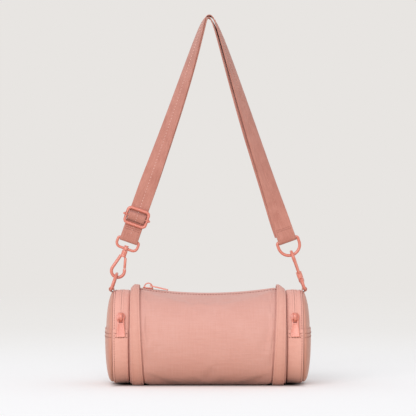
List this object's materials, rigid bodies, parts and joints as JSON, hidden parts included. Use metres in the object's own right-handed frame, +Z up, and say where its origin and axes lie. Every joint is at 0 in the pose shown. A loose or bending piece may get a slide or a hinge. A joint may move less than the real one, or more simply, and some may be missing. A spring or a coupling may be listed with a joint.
{
  "type": "crossbody bag",
  "caption": "Zipped fabric barrel bag with a zipped pocket at each end and a shoulder strap on a swivel hook and D-ring at each side.",
  "frame": {"origin": "centre of the flat face that the bag rests on", "axes": "+X along the barrel to the right, -Y the front, +Z up"},
  "size_m": [0.2238, 0.1134, 0.4026],
  "materials": {
    "shell": "washed nylon, soft semi-matte",
    "trim": "washed nylon, matte",
    "lining": "plain woven, matte",
    "zip_tape": "woven tape with nylon coil",
    "webbing": "herringbone woven webbing",
    "hardware": "semi-gloss coated"
  },
  "bodies": {
    "root": {"main_panel": "shell", "main_lining": "lining", "main_zip_front_tape": "zip_tape", "main_zip_back_tape": "zip_tape", "left_strip": "shell", "left_lower_strip": "shell", "left_end_panel": "shell", "left_end_pocket": "shell", "left_divider": "lining", "left_seam_binding": "lining", "left_zip_tapes": "zip_tape", "left_band": "trim", "left_tab": "trim", "right_strip": "shell", "right_lower_strip": "shell", "right_end_panel": "shell", "right_end_pocket": "shell", "right_divider": "lining", "right_seam_binding": "lining", "right_zip_tapes": "zip_tape", "right_band": "trim", "right_tab": "trim"},
    "main_slider": {"main_slider": "hardware"},
    "main_pull": {"main_pull": "hardware"},
    "left_slider": {"left_slider": "hardware"},
    "left_pull": {"left_pull": "hardware"},
    "right_slider": {"right_slider": "hardware"},
    "right_pull": {"right_pull": "hardware"},
    "bag_ring": {"bag_ring": "hardware"},
    "right_eye": {"right_eye": "hardware"},
    "right_hook": {"right_hook": "hardware", "right_rivet": "hardware"},
    "right_gate": {"right_gate": "hardware"},
    "strap": {"strap": "webbing", "strap_left_fold": "webbing", "strap_right_fold": "webbing"},
    "strap_ring": {"strap_ring": "hardware"},
    "left_eye": {"left_eye": "hardware"},
    "left_hook": {"left_hook": "hardware", "left_rivet": "hardware"},
    "left_gate": {"left_gate": "hardware"},
    "adjuster": {"adjuster_frame": "hardware", "adjuster_bar": "hardware", "adjuster_webbing": "webbing"}
  },
  "joints": [
    {"name": "main_zip_travel", "type": "hinge", "parent": "root", "child": "main_slider", "pos_m": [0, 0, 0.57336], "axis": [0, -1, 0], "range_deg": [0, 14.2]},
    {"name": "main_pull_swing", "type": "hinge", "parent": "main_slider", "child": "main_pull", "pos_m": [-0.06302, 0, 0.10704], "axis": [0, -1, 0], "range_deg": [0, 110]},
    {"name": "left_zip_travel", "type": "hinge", "parent": "root", "child": "left_slider", "pos_m": [-0.0934, 0, 0.0525], "axis": [-1, 0, 0], "range_deg": [0, 120]},
    {"name": "left_pull_swing", "type": "hinge", "parent": "left_slider", "child": "left_pull", "pos_m": [-0.0934, -0.04955, 0.07381], "axis": [-1, 0, 0], "range_deg": [0, 110]},
    {"name": "right_zip_travel", "type": "hinge", "parent": "root", "child": "right_slider", "pos_m": [0.0934, 0, 0.0525], "axis": [-1, 0, 0], "range_deg": [0, 120]},
    {"name": "right_pull_swing", "type": "hinge", "parent": "right_slider", "child": "right_pull", "pos_m": [0.0934, -0.04955, 0.07381], "axis": [-1, 0, 0], "range_deg": [0, 110]},
    {"name": "bag_ring_swing", "type": "hinge", "parent": "root", "child": "bag_ring", "pos_m": [-0.1055, 0, 0.1035], "axis": [0, 1, 0], "range_deg": [0, 4]},
    {"name": "right_eye_swing", "type": "hinge", "parent": "root", "child": "right_eye", "pos_m": [0.1055, 0, 0.1035], "axis": [0, 1, 0], "range_deg": [0, 2]},
    {"name": "right_hook_swivel", "type": "hinge", "parent": "right_eye", "child": "right_hook", "pos_m": [0.10203, 0, 0.1133], "axis": [0.3338, 0, -0.9426], "range_deg": [-20, 20]},
    {"name": "right_gate_press", "type": "hinge", "parent": "right_hook", "child": "right_gate", "pos_m": [0.09989, 0, 0.11934], "axis": [0.9426, 0, 0.3338], "range_deg": [0, 28], "stiffness_Nm_per_rad": 0.08},
    {"name": "strap_swing", "type": "hinge", "parent": "root", "child": "strap", "pos_m": [-0.10356, 0, 0.10897], "axis": [0.9897, 0, 0.1435], "range_deg": [-40, 40]},
    {"name": "strap_ring_swing", "type": "hinge", "parent": "strap", "child": "strap_ring", "pos_m": [0.08646, 0, 0.15728], "axis": [0.9426, 0, 0.3338], "range_deg": [-4, 4]},
    {"name": "left_eye_swing", "type": "hinge", "parent": "strap", "child": "left_eye", "pos_m": [-0.08646, 0, 0.15728], "axis": [0.9426, 0, -0.3338], "range_deg": [-2, 2]},
    {"name": "left_hook_swivel", "type": "hinge", "parent": "left_eye", "child": "left_hook", "pos_m": [-0.08993, 0, 0.14747], "axis": [-0.3338, 0, -0.9426], "range_deg": [-20, 20]},
    {"name": "left_gate_press", "type": "hinge", "parent": "left_hook", "child": "left_gate", "pos_m": [-0.09206, 0, 0.14144], "axis": [0, 1, 0], "range_deg": [0, 28], "stiffness_Nm_per_rad": 0.08},
    {"name": "adjuster_slide", "type": "slide", "parent": "strap", "child": "adjuster", "axis": [0.3338, 0, 0.9426], "range_m": [-0.012, 0.018]}
  ]
}
